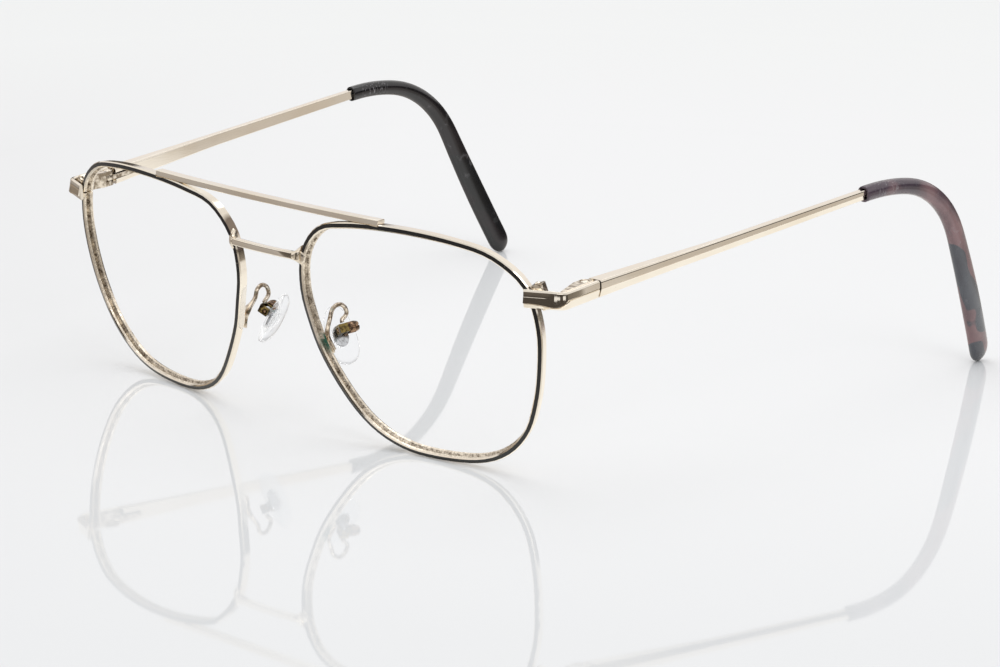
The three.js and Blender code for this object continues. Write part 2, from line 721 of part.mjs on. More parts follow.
function padInsert() {
  const reach = padStandoff + pinGap + plateThickness;
  const plate = padPlate(plateThickness, 0).translate(plateThickness / 2 - reach, 0, 0);
  const tab = block(reach, tabThickness, 2 * tabRadius, [-reach / 2, 0, 0]);
  const round = rod(tabRadius, tabThickness, 'y');
  const bore = rod(padShankRadius + pinGap, tabThickness + 2 * overrun, 'y');
  return surface(solid(plate).add(solid(tab)).add(solid(round)).subtract(solid(bore)));
}

function nosePad() {
  const outline = new THREE.CatmullRomCurve3(
    padOutlineShares.map(([a, b]) => new THREE.Vector3(0, a * padWidth / 2, b * padLength / 2)), true);
  const edge = outline.getSpacedPoints(padSteps).slice(0, padSteps);
  const rings = padCrownShares.map(([size, deep]) => edge.map((point) => new THREE.Vector3(
    -(padStandoff + deep * padThickness), point.y * size, point.z * size - padDrop)));
  const recess = padPlate(2 * (plateThickness + 2 * pinGap), seatGap).translate(-padStandoff, 0, 0);
  return surface(solid(loft(rings)).subtract(solid(recess)));
}

// The arm's foot on the rim, and the pad's place and turn in the part's frame for the left side
const footShare = rimShareAt(halfGap + rimWidth * padFootShares[0], rimHeight * padFootShares[1]);
const footPlace = rimFrame(footShare).place;
const padPlace = footPlace.clone().add(new THREE.Vector3(-padInset, padSetback, padRise));
const padTurn = new THREE.Euler(padPitch, padFlare, padSplay, 'ZYX');

// Pad arm in the part's frame: a foot along the rim's back, a round arch, and an end on the box's back wall
function padArm() {
  const footSpan = padFootLength / 2 / rimCurve.getLength();
  const onBack = (share) => {
    const { place, back } = rimFrame(share);
    return place.addScaledVector(back, rimDepth + seatGap + padFootThickness / 2);
  };
  const fromBox = (x, z) => new THREE.Vector3(x, 0, z).applyEuler(padTurn).add(padPlace);
  const [low, high] = [onBack(footShare - footSpan), onBack(footShare + footSpan)].sort((p, q) => p.z - q.z);
  const wall = boxBack - boxWall / 2;
  const end = fromBox(wall, boxHeight / 2 + seatGap);
  const level = fromBox(wall, boxHeight / 2 + seatGap + padWireRadius);
  const backLeg = padPlace.clone().add(new THREE.Vector3(padLegOut, padLegBack, padLegRise));
  const halfSpan = new THREE.Vector3(padLegSkew / 2, padLegSpan / 2, 0);
  const archMiddle = backLeg.clone().sub(halfSpan);
  const arch = [];
  for (let i = 0; i <= padArchSteps; i += 1) {
    const angle = Math.PI * (1 - i / padArchSteps);
    const rise = new THREE.Vector3(0, 0, padArchHeight * Math.sin(angle));
    arch.push(archMiddle.clone().addScaledVector(halfSpan, Math.cos(angle)).add(rise));
  }
  const wire = new THREE.CatmullRomCurve3([low, high, ...arch, level, end], false, 'centripetal');
  const side = rimFrame(footShare).out;
  const rings = [];
  for (let i = 0; i <= padWireSteps; i += 1) {
    const share = i / padWireSteps;
    const centre = wire.getPointAt(share);
    const tangent = wire.getTangentAt(share);
    side.addScaledVector(tangent, -side.dot(tangent)).normalize();
    const other = tangent.clone().cross(side).normalize();
    const run = share * wire.getLength();
    const footness = 1 - THREE.MathUtils.smoothstep(run, padFootLength, 2 * padFootLength);
    const a = THREE.MathUtils.lerp(padWireRadius, padFootWidth / 2, footness);
    const b = THREE.MathUtils.lerp(padWireRadius, padFootThickness / 2, footness);
    const ring = [];
    for (let k = 0; k < padWireSides; k += 1) {
      const angle = (2 * Math.PI * k) / padWireSides;
      ring.push(centre.clone().addScaledVector(side, a * Math.cos(angle))
        .addScaledVector(other, b * Math.sin(angle)));
    }
    rings.push(ring);
  }
  return loft(rings);
}

// Assembly
const frame = new THREE.Group();

function handed(geometry, side) {
  const copy = geometry.clone();
  if (side < 0) copy.scale(-1, 1, 1);
  return outward(copy);
}

// Rotation with the given axes, mirrored for the right side
function handedBasis(x, y, z, side) {
  const mirror = new THREE.Vector3(side, 1, 1);
  return new THREE.Matrix4().makeBasis(
    x.clone().multiply(mirror).multiplyScalar(side), y.clone().multiply(mirror), z.clone().multiply(mirror));
}

function add(group, name, geometry, finish) {
  const mesh = new THREE.Mesh(outward(geometry), new THREE.MeshStandardMaterial(finish));
  mesh.name = name;
  group.add(mesh);
}

add(frame, 'bridge', bridge(), gold);
add(frame, 'brow_bar', browBar(), gold);

for (const [hand, side] of [['left', 1], ['right', -1]]) {
  const put = (group, name, geometry, finish) => {
    add(group, `${hand}_${name}`, handed(geometry, side), finish);
  };

  put(frame, 'rim', rim(), rimGold);
  put(frame, 'pad_arm', padArm(), gold);

  const templeGroup = new THREE.Group();
  templeGroup.position.set(side * hingePlace.x, hingePlace.y, hingePlace.z);
  templeGroup.rotation.x = templeRise;
  frame.add(templeGroup);
  put(templeGroup, 'end_piece', endPiece(), gold);
  put(templeGroup, 'front_hinge', frontHinge(), gold);
  put(templeGroup, 'hinge_screw', hingeScrew(), screwGold);
  put(templeGroup, 'temple', temple(), gold);
  put(templeGroup, 'temple_hinge', templeHinge(), gold);
  put(templeGroup, 'temple_tip', templeTip(), tortoise);

  const lockGroup = new THREE.Group();
  const lockAt = lockPlace();
  lockGroup.position.set(side * lockAt.x, lockAt.y, lockAt.z);
  lockGroup.quaternion.setFromRotationMatrix(handedBasis(splitFrame.out, splitFrame.back, splitUp, side));
  frame.add(lockGroup);
  put(lockGroup, 'lock_upper', lockHalf(1), gold);
  put(lockGroup, 'lock_lower', lockHalf(-1), gold);
  put(lockGroup, 'closing_screw', closingScrew(), screwGold);

  const padGroup = new THREE.Group();
  padGroup.position.set(side * padPlace.x, padPlace.y, padPlace.z);
  padGroup.rotation.set(padPitch, side * padFlare, side * padSplay, 'ZYX');
  frame.add(padGroup);
  put(padGroup, 'pad_box', padBox(), gold);
  put(padGroup, 'pad_screw', padScrew(), screwGold);
  put(padGroup, 'pad_insert', padInsert(), gold);
  put(padGroup, 'nose_pad', nosePad(), clearSilicone);
}

// The origin lies on the table, under the middle of the box round the frame
const box = new THREE.Box3().setFromObject(frame, true);
frame.position.set(0, -(box.min.y + box.max.y) / 2, -box.min.z);

export default frame;
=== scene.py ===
import json
import math

import bpy
from mathutils import Matrix, Vector


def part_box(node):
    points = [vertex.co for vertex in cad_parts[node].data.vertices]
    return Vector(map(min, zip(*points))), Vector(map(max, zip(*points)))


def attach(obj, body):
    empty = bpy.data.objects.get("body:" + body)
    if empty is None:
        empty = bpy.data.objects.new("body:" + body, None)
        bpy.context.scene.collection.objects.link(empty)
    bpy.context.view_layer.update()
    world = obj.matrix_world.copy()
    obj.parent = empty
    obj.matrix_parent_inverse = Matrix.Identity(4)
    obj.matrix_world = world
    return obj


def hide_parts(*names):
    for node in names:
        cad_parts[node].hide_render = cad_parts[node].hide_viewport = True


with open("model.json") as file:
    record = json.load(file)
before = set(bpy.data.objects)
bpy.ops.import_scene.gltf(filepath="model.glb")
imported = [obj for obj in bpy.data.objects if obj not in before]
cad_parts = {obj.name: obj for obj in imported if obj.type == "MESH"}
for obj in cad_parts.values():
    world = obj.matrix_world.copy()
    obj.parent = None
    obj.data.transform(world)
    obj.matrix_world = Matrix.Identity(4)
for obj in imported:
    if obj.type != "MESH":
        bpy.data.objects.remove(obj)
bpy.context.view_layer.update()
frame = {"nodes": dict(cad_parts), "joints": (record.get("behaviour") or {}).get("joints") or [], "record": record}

# Studio picture of the eyeglass frame, in metres and in the CAD's frame: the front faces -Y, +Z is up,
# and left is the wearer's left, which is +X. MM turns a maker's millimetres into metres.
MM = 0.001

# The photograph's camera
CAMERA_TARGET = Vector((59.943, -68.321, 30.525)) * MM
CAMERA_AZIMUTH = math.radians(43.032)
CAMERA_ELEVATION = math.radians(15.028)
CAMERA_ROLL = math.radians(0.469)
CAMERA_DISTANCE = 630.29 * MM
CAMERA_LENS = 123.877
CAMERA_SENSOR = 36
CAMERA_NEAREST = 0.01

# The front's bowl as it stands: the middle of the left lens, the depth of the rims' front faces there,
# the slopes of its wrap and of its lean, and the radius of the lens curve
BOWL_CENTRE = Vector((33.9, 0, 21.298)) * MM
BOWL_LEAD = -68.7095 * MM
BOWL_WRAP = math.tan(math.radians(6.1))
BOWL_LEAN = math.tan(math.radians(12.3))
BOWL_RADIUS = 102.5 * MM

# The bridge's level, and how far from the middle its braze lies on the rims' front faces
BRIDGE_LEVEL = 36.885 * MM
BRIDGE_BRAZE = 9.85 * MM

# The hinge pins lean back by this angle. A hinge's own frame is outwards, along the temple, up its pin.
PIN_LEAN = math.radians(4.85)
PIN_UP = Vector((0, -math.sin(PIN_LEAN), math.cos(PIN_LEAN)))
PIN_ALONG = Vector((0, math.cos(PIN_LEAN), math.sin(PIN_LEAN)))

# Which way each side of the frame lies along X
FACING = {"left": 1, "right": -1}

# Rounds of the edges, and how close points may come before they are merged: after a round, and on the
# CAD's own meshes and the small screws
EDGE_ROUND = 0.05 * MM
FINE_ROUND = 0.04 * MM
MERGE = 0.003 * MM
FINE_MERGE = 0.001 * MM

# How often the rounded pieces are divided
SUBDIVISIONS = 2


def place_camera():
    """Camera at the photograph's view."""
    back = Vector((
        math.sin(CAMERA_AZIMUTH) * math.cos(CAMERA_ELEVATION),
        -math.cos(CAMERA_AZIMUTH) * math.cos(CAMERA_ELEVATION),
        math.sin(CAMERA_ELEVATION),
    ))
    right = Vector((math.cos(CAMERA_AZIMUTH), math.sin(CAMERA_AZIMUTH), 0))
    up = back.cross(right)
    turn = Matrix((right, up, back)).transposed().to_4x4() @ Matrix.Rotation(CAMERA_ROLL, 4, "Z")
    data = bpy.data.cameras.new("photo_camera")
    data.lens = CAMERA_LENS
    data.sensor_width = CAMERA_SENSOR
    data.clip_start = CAMERA_NEAREST
    camera = bpy.data.objects.new("photo_camera", data)
    camera.matrix_world = Matrix.Translation(CAMERA_TARGET + back * CAMERA_DISTANCE) @ turn
    bpy.context.scene.collection.objects.link(camera)
    bpy.context.scene.camera = camera


place_camera()


class Wire:
    """An output of one of a finish's nodes. Arithmetic on wires adds Math nodes to the finish."""

    def __init__(self, finish, socket):
        self.finish = finish
        self.socket = socket

    def maths(self, operation, *values):
        return self.finish.node("ShaderNodeMath", {"operation": operation}, dict(enumerate(values)))

    def __add__(self, other):
        return self.maths("ADD", self, other)

    __radd__ = __add__

    def __sub__(self, other):
        return self.maths("SUBTRACT", self, other)

    def __rsub__(self, other):
        return self.maths("SUBTRACT", other, self)

    def __mul__(self, other):
        return self.maths("MULTIPLY", self, other)

    __rmul__ = __mul__

    def __truediv__(self, other):
        return self.maths("DIVIDE", self, other)

    def at_least(self, other):
        return self.maths("MAXIMUM", self, other)


class Finish:
    """The nodes of a material or of the studio's world, from the place on a piece to one shader."""

    def __init__(self, owner, place="Object"):
        owner.use_nodes = True
        self.owner = owner
        self.tree = owner.node_tree
        self.tree.nodes.clear()
        self.place = self.node("ShaderNodeTexCoord", output=place)

    def node(self, kind, settings=None, inputs=None, output=0):
        """Adds a node: first its settings, then the values or wires of its sockets. Gives one output."""
        made = self.tree.nodes.new(kind)
        for key, value in (settings or {}).items():
            if key == "stops":
                ramp = made.color_ramp.elements
                while len(ramp) < len(value):
                    ramp.new(1.0)
                for element, (position, shade) in zip(ramp, value):
                    element.position = position
                    element.color = shade
            else:
                setattr(made, key, value)
        for key, value in (inputs or {}).items():
            if isinstance(value, Wire):
                self.tree.links.new(value.socket, made.inputs[key])
            else:
                made.inputs[key].default_value = value
        return Wire(self, made.outputs[output]) if made.outputs else None

    def noise(self, scale, detail, stretch=(1, 1, 1), shift=(0, 0, 0)):
        """Cloudy pattern with about scale features in a metre, drawn out where stretch is below 1."""
        place = self.node("ShaderNodeMapping", {"vector_type": "POINT"},
                          {"Vector": self.place, "Location": shift, "Scale": stretch})
        return self.node("ShaderNodeTexNoise", {}, {"Vector": place, "Scale": scale, "Detail": detail})

    def band(self, value, low, high):
        """0 below low, 1 above high, straight between them."""
        return self.node("ShaderNodeMapRange", {"clamp": True},
                         {"Value": value, "From Min": low, "From Max": high})

    def mix(self, share, first, second):
        """Colour that goes from first to second as share goes from 0 to 1."""
        return self.node("ShaderNodeMix", {"data_type": "RGBA"},
                         {0: share, 6: first, 7: second}, output=2)

    def ramp(self, value, *stops):
        """Colour for a value, from stops of a position and a colour."""
        return self.node("ShaderNodeValToRGB", {"stops": stops}, {0: value})

    def measure(self, operation, other):
        """Number that a Vector Math node gives for the place and another vector."""
        return self.node("ShaderNodeVectorMath", {"operation": operation},
                         {0: self.place, 1: other}, output=1)

    def along(self, direction):
        """How far the place lies in a direction."""
        return self.measure("DOT_PRODUCT", direction)

    def apart(self, centre):
        """Distance of the place from a centre."""
        return self.measure("DISTANCE", centre)

    def height(self):
        return self.node("ShaderNodeSeparateXYZ", {}, {0: self.place}, output=2)

    def ball(self, centre, radius):
        """1 at a centre, falling to 0 at the given distance from it."""
        return 1 - self.band(self.apart(centre), 0, radius)

    def bump(self, height, depth):
        return self.node("ShaderNodeBump", {}, {"Height": height, "Distance": depth, "Strength": 1.0})

    def shader(self, **sockets):
        """A Principled shader with the given sockets."""
        named = {key.replace("_", " "): value for key, value in sockets.items()}
        return self.node("ShaderNodeBsdfPrincipled", {}, named)

    def end(self, shader):
        """Ends a material's finish with a shader, and gives the material."""
        self.node("ShaderNodeOutputMaterial", {}, {0: shader})
        return self.owner

    def surface(self, **sockets):
        """Ends a material's finish with one Principled shader, and gives the material."""
        return self.end(self.shader(**sockets))

    def mirrored(self):
        """1 where a polished surface looks here, 0 for the camera, plain light and clear plastic."""
        glossy = self.node("ShaderNodeLightPath", output="Is Glossy Ray")
        through = self.node("ShaderNodeLightPath", output="Is Transmission Ray")
        return glossy * (1 - through)


def new_finish(name):
    return Finish(bpy.data.materials.new(name))


def colour(red, green, blue):
    """Screen colour from 0 to 255 as the linear colour that Blender mixes."""
    parts = [value / 255 for value in (red, green, blue)]
    return tuple(p / 12.92 if p <= 0.04045 else ((p + 0.055) / 1.055) ** 2.4 for p in parts) + (1,)


CHAMPAGNE = colour(243, 235, 222)
CHAMPAGNE_DEEP = colour(236, 225, 208)
OLD_BRASS = colour(132, 114, 68)
# Brown of a painted dark reflection on the rims
TARNISH = colour(88, 72, 54)
PAINTED_REFLECTION_BROWN = colour(98, 80, 66)
VERDIGRIS = colour(42, 88, 70)
BLACK_LACQUER = colour(15, 15, 16)
RUBBED_PLASTIC = colour(168, 164, 168)


def polished_metal(name, stretch, rough, painted_reflection_spot=None):
    """Plated metal with fine lines along the piece, faint clouds, a few dull specks, and at one place a brown
    patch that is a painted dark reflection.
    """
    painted_reflection_radius = 3.4 * MM
    finish = new_finish(name)
    lines = finish.noise(2600, 2.0, stretch)
    clouds = finish.band(finish.noise(90, 2.0), 0.4, 0.7)
    specks = finish.band(finish.noise(1500, 4.0), 0.73, 0.78)
    base = finish.mix(clouds, CHAMPAGNE, CHAMPAGNE_DEEP)
    base = finish.mix(0.35 * specks, base, TARNISH)
    if painted_reflection_spot:
        # Painted dark reflection: a brown patch where the metal would mirror something dark
        painted_reflection_share = finish.band(finish.ball(painted_reflection_spot, painted_reflection_radius), 0.15, 0.5)
        base = finish.mix(0.85 * painted_reflection_share, base, PAINTED_REFLECTION_BROWN)
    return finish.surface(
        Base_Color=base,
        Metallic=1.0,
        Roughness=rough + 0.04 * lines + 0.2 * specks,
        Normal=finish.bump(lines, 0.0015 * MM),
    )


def lens_groove_metal(name, foot, soil):
    """Inner wall of a rim: old gold with brown dirt, and green corrosion beside the pad arm's foot."""
    corroded_radius = 3.6 * MM
    finish = new_finish(name)
    dirt = finish.band(finish.noise(700, 7.0), 0.4, 0.62)
    grains = finish.band(finish.noise(2300, 4.0), 0.48, 0.56)
    ragged = finish.band(finish.noise(700, 4.0, shift=(3, 1, 2)), 0.38, 0.5)
    green = finish.ball(foot, corroded_radius) * ragged
    base = finish.mix((0.6 * dirt + 0.4 * grains) * soil, CHAMPAGNE_DEEP, TARNISH)
    base = finish.mix(finish.band(green, 0.1, 0.5), base, VERDIGRIS)
    return finish.surface(
        Base_Color=base,
        Metallic=1 - 0.8 * green,
        Roughness=0.2 + 0.2 * dirt + 0.3 * green,
        Normal=finish.bump(dirt + grains, 0.015 * MM),
    )


def lacquer(name, bare_centre, bare_radius):
    """Black lacquer with worn pinholes, left off round a brazed joint."""
    finish = new_finish(name)
    ripple = finish.noise(900, 2.0)
    pinholes = finish.band(finish.noise(2200, 5.0), 0.73, 0.77)
    ragged = 0.1 * finish.noise(1600, 2.0)
    bare = finish.band(finish.ball(bare_centre, 2 * bare_radius) + ragged, 0.53, 0.57)
    worn = pinholes.at_least(bare)
    return finish.surface(
        Base_Color=finish.mix(worn, BLACK_LACQUER, CHAMPAGNE),
        Metallic=worn,
        Roughness=0.12 + 0.08 * ripple,
        Normal=finish.bump(ripple, 0.004 * MM),
    )


def tortoise(hand, shades, shift):
    """Dark translucent plastic: patches that follow each other down the tip, veins and rubbed places."""
    # The tip's drop: the way across it, its middle line and front edge on that way, and its patches' height
    across_drop = (0, 0.91, 0.41)
    drop_line, front_edge, drop_height = 62.4 * MM, -1.5 * MM, 50 * MM
    handled_centre, handled_radius = Vector((FACING[hand] * 73, 30, 44.5)) * MM, 7 * MM
    finish = new_finish(f"tortoise_{hand}")
    slate, rose, plum, night = (colour(*shade) for shade in shades)
    clouds = finish.noise(120, 1.2, (1.6, 1, 1), shift)
    across = (finish.along(across_drop) - drop_line).at_least(front_edge)
    level = (finish.height() + 2 * across) / drop_height
    patches = finish.ramp(
        level + 0.5 * (clouds - 0.5),
        (0.1, slate), (0.11, rose), (0.27, rose), (0.28, slate),
        (0.53, slate), (0.54, rose), (0.7, rose), (0.84, plum),
    )
    veins = finish.band(finish.noise(260, 5.0, (2, 0.6, 0.4), shift), 0.4, 0.68)
    base = finish.mix(0.6 * veins, patches, night)
    scuffs = finish.band(finish.noise(1400, 4.0, (1, 0.3, 0.3)), 0.58, 0.68)
    scratches = finish.band(finish.noise(3800, 5.0, (1, 0.6, 0.3)), 0.57, 0.64)
    worn = finish.band(finish.noise(130, 2.0, shift=shift), 0.54, 0.62)
    handled = finish.band(finish.ball(handled_centre, handled_radius), 0.2, 0.6)
    rubbed = 0.15 * scuffs * worn + 0.4 * scratches * handled
    return finish.surface(
        Base_Color=finish.mix(rubbed, base, RUBBED_PLASTIC),
        Roughness=0.16 + 0.2 * scuffs,
        Coat_Weight=0.25,
        Coat_Roughness=0.05,
        Normal=finish.bump(scuffs, 0.006 * MM),
    )


def clear_silicone():
    """Clear soft pad with a slight haze."""
    finish = new_finish("clear_silicone")
    haze = finish.noise(500, 4.0)
    return finish.surface(
        Base_Color=finish.mix(haze, colour(255, 255, 255), colour(248, 249, 253)),
        Roughness=0.04 + 0.1 * haze,
        IOR=1.12,
        Transmission_Weight=1.0,
        Alpha=0.32 + 0.16 * haze,
        Normal=finish.bump(haze, 0.01 * MM),
    )


def aged_metal(name, light, deep, scale=1300, rough=0.16):
    """Small metal part, darker in patches and green in places."""
    finish = new_finish(name)
    age = finish.band(finish.noise(scale, 4.0), 0.42, 0.6)
    green = finish.band(finish.noise(620, 3.0, shift=(7, 2, 5)), 0.64, 0.7)
    base = finish.mix(age, light, deep)
    base = finish.mix(0.5 * green, base, VERDIGRIS)
    return finish.surface(
        Base_Color=base,
        Metallic=1 - 0.6 * green,
        Roughness=rough + 0.14 * age,
        Normal=finish.bump(age, 0.006 * MM),
    )


# How the fine lines of a polished piece are drawn out
ALONG_X = (0.08, 1, 1)
ALONG_Y = (1, 0.06, 1)
EVEN = (1, 1, 1)

gold_bar = polished_metal("champagne_gold_bar", ALONG_X, 0.05)
gold_temple = polished_metal("champagne_gold_temple", ALONG_Y, 0.04)
gold_small = polished_metal("champagne_gold_small", EVEN, 0.09)
gold_braze = polished_metal("champagne_gold_braze", EVEN, 0.16)
brass = aged_metal("aged_brass", OLD_BRASS, colour(56, 46, 34))
brown_gold = aged_metal("brown_gold", colour(158, 130, 106), colour(58, 44, 36), rough=0.12)
worn_gold = aged_metal("worn_gold", colour(222, 211, 196), colour(126, 110, 92), 700, 0.1)
hinge_gold = aged_metal("hinge_gold", colour(232, 222, 206), colour(150, 136, 118), 900, 0.12)
grey_steel = aged_metal("grey_steel", colour(196, 198, 202), colour(150, 150, 152))
silicone = clear_silicone()

# Screen colours of the tips: slate, rose and plum for the patches, and night for the veins. The right tip's set is
# the left's made much darker, painted shade on the far tip.
LEFT_TIP = ((78, 81, 88), (132, 102, 104), (80, 66, 77), (50, 46, 54))
SHADED_RIGHT_TIP = ((20, 22, 26), (30, 25, 29), (16, 15, 19), (9, 9, 12))
tips = {
    "left": tortoise("left", LEFT_TIP, (0, 0, 0)),
    "right": tortoise("right", SHADED_RIGHT_TIP, (4, 2, 1)),
}

body_by_node = {
    node: body for body, nodes in frame["record"]["behaviour"]["bodies"].items() for node in nodes
}
joints = {joint["name"]: joint for joint in frame["joints"]}
pins = {hand: Vector(joints[f"{hand}_temple_hinge"]["pos_m"]) for hand in FACING}


def only(piece):
    """Makes piece the one selected object, because an operator acts on all that is selected."""
    bpy.ops.object.select_all(action="DESELECT")
    piece.select_set(True)
    bpy.context.view_layer.objects.active = piece


def open_mesh(piece, kind, action):
    """Opens a piece in edit mode, with all or none of its points, edges or faces selected."""
    only(piece)
    bpy.ops.object.mode_set(mode="EDIT")
    bpy.ops.mesh.select_mode(type=kind)
    bpy.ops.mesh.select_all(action=action)


def close_mesh():
    bpy.ops.object.mode_set(mode="OBJECT")


def cad_copy(node):
    """New piece with a CAD node's shape: doubles merged, triangles joined, no imported normals."""
    piece = bpy.data.objects.new(f"{node}_dressed", frame["nodes"][node].data.copy())
    bpy.context.scene.collection.objects.link(piece)
    piece.data.materials.clear()
    only(piece)
    bpy.ops.mesh.customdata_custom_splitnormals_clear()
    open_mesh(piece, "VERT", "SELECT")
    bpy.ops.mesh.remove_doubles(threshold=FINE_MERGE)
    bpy.ops.mesh.mark_sharp(clear=True)
    bpy.ops.mesh.tris_convert_to_quads(face_threshold=math.radians(12), shape_threshold=math.radians(80))
    close_mesh()
    return piece


def pick_faces(piece, wanted):
    """Selects the faces whose centre and normal pass the test; the piece is left in edit mode."""
    open_mesh(piece, "FACE", "DESELECT")
    close_mesh()
    for face in piece.data.polygons:
        face.select = bool(wanted(face.center, face.normal))
    bpy.ops.object.mode_set(mode="EDIT")


def shift_faces(piece, wanted, way):
    """Moves the faces that pass the test."""
    pick_faces(piece, wanted)
    bpy.ops.transform.translate(value=way)
    close_mesh()


def cut_faces(piece, wanted, place, normal):
    """Cuts the faces that pass the test along a plane."""
    pick_faces(piece, wanted)
    bpy.ops.mesh.select_mode(type="EDGE")
    bpy.ops.mesh.bisect(plane_co=place, plane_no=normal)
    close_mesh()


def move_points(piece, way_of):
    """Moves a piece's points; way_of gives a point's way, or None where it stays."""
    groups = {}
    for point in piece.data.vertices:
        way = way_of(point.co)
        if way:
            groups.setdefault(tuple(round(part, 9) for part in way), []).append(point.index)
    for way, points in groups.items():
        open_mesh(piece, "VERT", "DESELECT")
        close_mesh()
        for index in points:
            piece.data.vertices[index].select = True
        bpy.ops.object.mode_set(mode="EDIT")
        bpy.ops.transform.translate(value=way)
        close_mesh()


def round_edges(piece, width, angle=28, segments=2, merge=MERGE):
    """Small round on every edge sharper than angle; points closer than merge become one."""
    only(piece)
    bpy.ops.object.modifier_add(type="BEVEL")
    bevel = piece.modifiers[-1]
    bevel.width = width
    bevel.segments = segments
    bevel.limit_method = "ANGLE"
    bevel.angle_limit = math.radians(angle)
    bevel.use_clamp_overlap = True
    bpy.ops.object.modifier_apply(modifier=bevel.name)
    open_mesh(piece, "VERT", "SELECT")
    bpy.ops.mesh.remove_doubles(threshold=merge)
    bpy.ops.mesh.dissolve_degenerate(threshold=FINE_MERGE)
    close_mesh()


def smooth(piece, angle=40):
    """Smooth shading with flat facets kept flat."""
    only(piece)
    bpy.ops.object.shade_smooth_by_angle(angle=math.radians(angle))
    bpy.ops.object.modifier_add(type="WEIGHTED_NORMAL")
    weighted = piece.modifiers[-1]
    weighted.keep_sharp = True
    bpy.ops.object.modifier_apply(modifier=weighted.name)


def crease_and_divide(piece, angle):
    """Subdivision surface that keeps the edges sharper than angle."""
    open_mesh(piece, "EDGE", "DESELECT")
    bpy.ops.mesh.edges_select_sharp(sharpness=math.radians(angle))
    bpy.ops.transform.edge_crease(value=0.9)
    close_mesh()
    bpy.ops.object.modifier_add(type="SUBSURF")
    divided = piece.modifiers[-1]
    divided.levels = SUBDIVISIONS
    divided.render_levels = SUBDIVISIONS
    bpy.ops.object.modifier_apply(modifier=divided.name)


def dress(piece, material, node):
    """Gives a piece its finish and its body, and hides the CAD node that it stands for."""
    if not piece.data.materials:
        piece.data.materials.append(material)
    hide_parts(node)
    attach(piece, body_by_node[node])


def dress_plain(node, material, width=EDGE_ROUND, merge=MERGE):
    """Piece with rounded edges and nothing else changed."""
    piece = cad_copy(node)
    round_edges(piece, width, merge=merge)
    smooth(piece)
    dress(piece, material, node)


def bowl_depth(x, z):
    """Y of the rims' front faces at a place in front view."""
    dx = abs(x) - BOWL_CENTRE.x
    dz = z - BOWL_CENTRE.z
    return BOWL_LEAD + dx * BOWL_WRAP - dz * BOWL_LEAN + (dx * dx + dz * dz) / (2 * BOWL_RADIUS)


def bowl_back(x, z):
    """Backward direction square to the front at a place in front view."""
    slope_x = BOWL_WRAP + (abs(x) - BOWL_CENTRE.x) / BOWL_RADIUS
    slope_z = -BOWL_LEAN + (z - BOWL_CENTRE.z) / BOWL_RADIUS
    return Vector((-slope_x * math.copysign(1, x), 1, -slope_z)).normalized()


def dress_rim(hand):
    """Rim: gold, with black lacquer on its front face and old, dirty metal in the lens groove."""
    node = f"{hand}_rim"
    side = FACING[hand]
    piece = cad_copy(node)
    low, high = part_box(node)
    middle = (low + high) / 2
    foot_low, foot_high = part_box(f"{hand}_pad_arm")
    foot_x = side * max(abs(foot_low.x), abs(foot_high.x))
    foot = Vector((foot_x, foot_low.y, foot_low.z + 3 * MM))
    bare = Vector((side * BRIDGE_BRAZE, bowl_depth(BRIDGE_BRAZE, BRIDGE_LEVEL), BRIDGE_LEVEL - 0.2 * MM))
    bare_radius = 1.05 * MM
    # The painted dark reflection, a brown patch, lies on the rim's nose side, a little above the bridge
    reflection_spot_x, reflection_spot_z, reflection_spot_behind = 10.2 * MM, 39.6 * MM, 1.2 * MM
    painted_reflection_spot = Vector((side * reflection_spot_x, bowl_depth(reflection_spot_x, reflection_spot_z) + reflection_spot_behind, reflection_spot_z))
    for material in (
        polished_metal(f"{hand}_champagne_gold_rim", EVEN, 0.07, painted_reflection_spot),
        lacquer(f"{hand}_black_lacquer", bare, bare_radius),
        lens_groove_metal(f"{hand}_lens_groove", foot, soil=0.95),
        lens_groove_metal(f"{hand}_rim_lip", foot, soil=0.45),
    ):
        piece.data.materials.append(material)

    def on_front(centre, normal):
        return normal.dot(bowl_back(centre.x, centre.z)) < -0.93

    def inside(nearest, deepest):
        """Test for faces that look into the opening, between two depths behind the front in mm."""
        def wanted(centre, normal):
            back = bowl_back(centre.x, centre.z)
            depth = (centre.y - bowl_depth(centre.x, centre.z)) * back.y
            inward = normal.dot((Vector((middle.x, centre.y, middle.z)) - centre).normalized())
            return inward > 0.25 and nearest * MM < depth < deepest * MM
        return wanted

    # The finish at 0 is the gold, which stays on all other faces; the groove lies within the lip
    lacquered, grooved, lipped = 1, 2, 3
    for index, wanted in ((lipped, inside(0.3, 1.85)), (grooved, inside(0.66, 1.49)), (lacquered, on_front)):
        pick_faces(piece, wanted)
        piece.active_material_index = index
        bpy.ops.object.material_slot_assign()
        close_mesh()
    round_edges(piece, 0.06 * MM, angle=20)
    smooth(piece)
    dress(piece, None, node)


def dress_tip(hand):
    """Temple tip: soft all over, with a crisp mouth."""
    node = f"{hand}_temple_tip"
    piece = cad_copy(node)
    crease_and_divide(piece, 78)
    round_edges(piece, 0.1 * MM, angle=50)
    smooth(piece, 50)
    dress(piece, tips[hand], node)


def dress_pad(hand):
    """Nose pad: clear, with a soft form."""
    node = f"{hand}_nose_pad"
    piece = cad_copy(node)
    crease_and_divide(piece, 60)
    smooth(piece, 50)
    dress(piece, silicone, node)


def dress_wire(hand):
    """Pad arm: its bent wire made round, its foot kept flat."""
    node = f"{hand}_pad_arm"
    piece = cad_copy(node)
    crease_and_divide(piece, 60)
    smooth(piece, 60)
    dress(piece, worn_gold, node)


